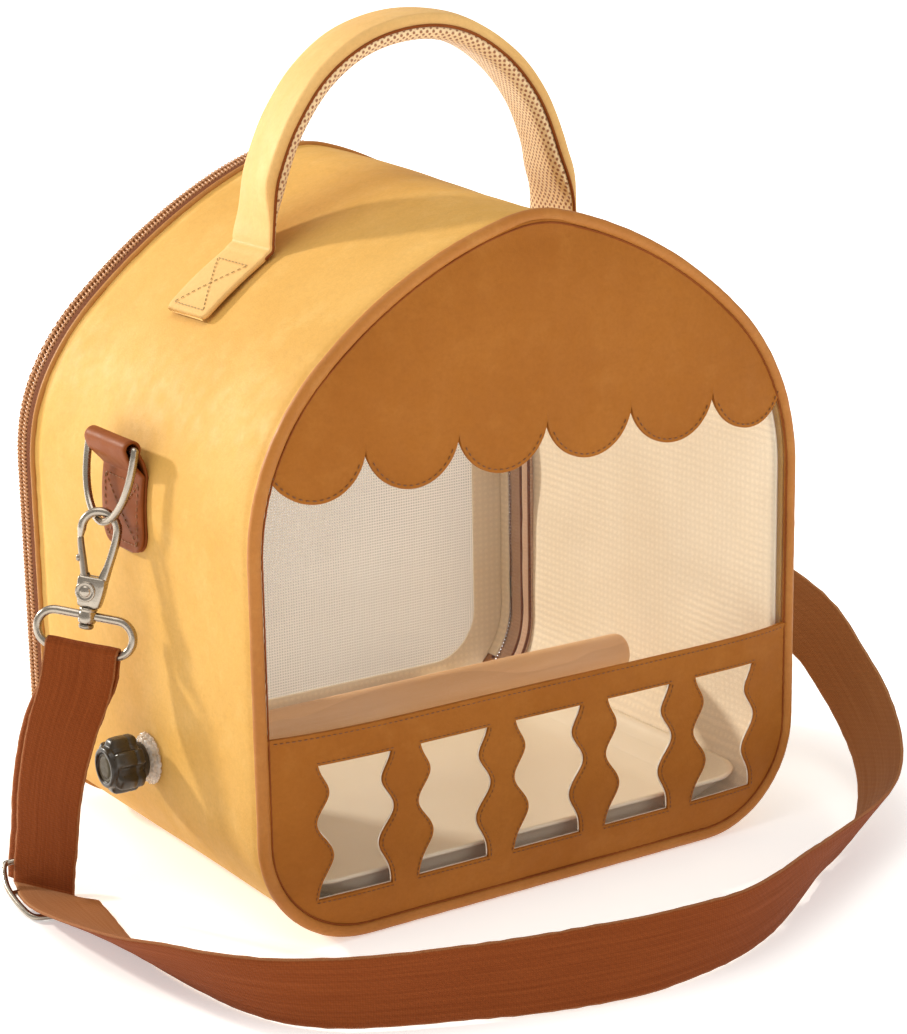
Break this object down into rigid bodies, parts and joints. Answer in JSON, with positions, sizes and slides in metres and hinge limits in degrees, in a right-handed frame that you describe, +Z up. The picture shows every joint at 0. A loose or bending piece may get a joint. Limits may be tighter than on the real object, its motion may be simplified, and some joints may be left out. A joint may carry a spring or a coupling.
{
  "type": "bird travel carrier",
  "caption": "House-shaped soft carrier for a small bird with a clear front, scalloped awning, cut-out balustrade, zipped rear door, perch, tray, carrying handle and clip-on shoulder strap.",
  "frame": {"origin": "on the ground under the middle of the bag, without the shoulder strap", "axes": "+X to the bag's right as seen from the front, -Y out of the clear front, +Z up"},
  "size_m": [0.3935, 0.3211, 0.3451],
  "materials": {
    "shell": "soft pale yellow coated fabric, satin",
    "foam": "soft sheet foam",
    "lining": "cream woven lining, matt",
    "base": "coated fabric, satin",
    "board": "stiff board, matt",
    "piping": "coated fabric piping, satin",
    "window": "clear flexible film",
    "caramel": "caramel coated fabric, satin",
    "binding": "brown woven binding",
    "tape": "brown woven zip tape",
    "coil": "copper-brown zip coil",
    "metal": "warm nickel plating",
    "steel": "plain steel",
    "mesh": "white open mesh",
    "wood": "pale turned wood",
    "clear": "clear plastic",
    "knob": "dark brown moulded plastic",
    "tray": "cream moulded plastic",
    "pad": "perforated soft mesh, cream pink",
    "tabs": "brown coated fabric",
    "strap": "dark brown woven webbing"
  },
  "bodies": {
    "carrier": {"outer_shell": "shell", "shell_foam": "foam", "lining": "lining", "base_panel": "base", "base_board": "board", "front_piping": "piping", "front_window": "window", "awning_panel": "caramel", "balustrade_panel": "caramel", "rear_piping": "piping", "rear_binding": "binding", "rear_sill": "shell", "hinge_strip": "base", "zip_tape_body": "tape", "zip_coil_body": "coil", "perch_dowel": "wood", "perch_stud": "steel", "perch_inner_plate": "steel", "perch_eyelet": "steel", "perch_outer_washer": "clear", "strap_left_run": "strap", "strap_main": "strap", "slide_buckle": "metal", "handle_leg_left": "shell", "handle_leg_right": "shell", "handle_tab_left": "shell", "handle_tab_right": "shell", "ring_tab_left": "tabs", "ring_tab_right": "tabs"},
    "back_door": {"zip_coil_door": "coil", "zip_tape_door": "tape", "door_rim": "shell", "door_frame": "shell", "door_mesh": "mesh"},
    "zip_slider": {"zip_slider": "metal"},
    "zip_pull": {"zip_pull": "metal"},
    "perch_knob": {"perch_knob": "knob"},
    "tray": {"tray": "tray"},
    "handle": {"handle_strip": "shell", "handle_pad": "pad"},
    "clip_left": {"d_ring_left": "metal", "bail_left": "metal", "strap_end_left": "strap"},
    "hook_left": {"hook_left": "metal", "swivel_stud_left": "metal", "gate_rivet_left": "metal"},
    "gate_left": {"gate_left": "metal"},
    "clip_right": {"d_ring_right": "metal", "bail_right": "metal", "strap_end_right": "strap"},
    "hook_right": {"hook_right": "metal", "swivel_stud_right": "metal", "gate_rivet_right": "metal"},
    "gate_right": {"gate_right": "metal"}
  },
  "joints": [
    {"name": "door_hinge", "type": "hinge", "parent": "carrier", "child": "back_door", "pos_m": [0, 0.0955, 0.015], "axis": [-1, 0, 0], "range_deg": [0, 90], "deforming": ["hinge_strip"]},
    {"name": "zip_travel", "type": "slide", "parent": "carrier", "child": "zip_slider", "axis": [0, 0, 1], "range_m": [0, 0.09]},
    {"name": "pull_hinge", "type": "hinge", "parent": "zip_slider", "child": "zip_pull", "pos_m": [0.1313, 0.097, 0.0546], "axis": [0, -1, 0], "range_deg": [0, 120]},
    {"name": "knob_turn", "type": "hinge", "parent": "carrier", "child": "perch_knob", "pos_m": [-0.14, -0.012, 0.055], "axis": [1, 0, 0], "continuous": true},
    {"name": "tray_lift", "type": "slide", "parent": "carrier", "child": "tray", "axis": [0, 0, 1], "range_m": [0, 0.02]},
    {"name": "handle_fold", "type": "hinge", "parent": "carrier", "child": "handle", "pos_m": [0, 0.0057, 0.25], "axis": [1, 0, 0], "range_deg": [-50, 50], "deforming": ["handle_leg_left", "handle_leg_right"]},
    {"name": "clip_swing_left", "type": "hinge", "parent": "carrier", "child": "clip_left", "pos_m": [-0.1332, -0.002, 0.185], "axis": [0, 1, 0], "range_deg": [0, 50]},
    {"name": "hook_swivel_left", "type": "hinge", "parent": "clip_left", "child": "hook_left", "pos_m": [-0.14056, -0.002, 0.15039], "axis": [0.2079, 0, 0.9781], "range_deg": [0, 20]},
    {"name": "gate_hinge_left", "type": "hinge", "parent": "hook_left", "child": "gate_left", "pos_m": [-0.14763, -0.00019, 0.12613], "axis": [0.6795, 0.7193, -0.1444], "range_deg": [0, 12], "stiffness_Nm_per_rad": 0.02},
    {"name": "clip_swing_right", "type": "hinge", "parent": "carrier", "child": "clip_right", "pos_m": [0.1332, -0.002, 0.185], "axis": [0, -1, 0], "range_deg": [0, 50]},
    {"name": "hook_swivel_right", "type": "hinge", "parent": "clip_right", "child": "hook_right", "pos_m": [0.14056, -0.002, 0.15039], "axis": [0.2079, 0, -0.9781], "range_deg": [0, 20]},
    {"name": "gate_hinge_right", "type": "hinge", "parent": "hook_right", "child": "gate_right", "pos_m": [0.14763, -0.00019, 0.12613], "axis": [0.6795, -0.7193, 0.1444], "range_deg": [0, 12], "stiffness_Nm_per_rad": 0.02}
  ]
}
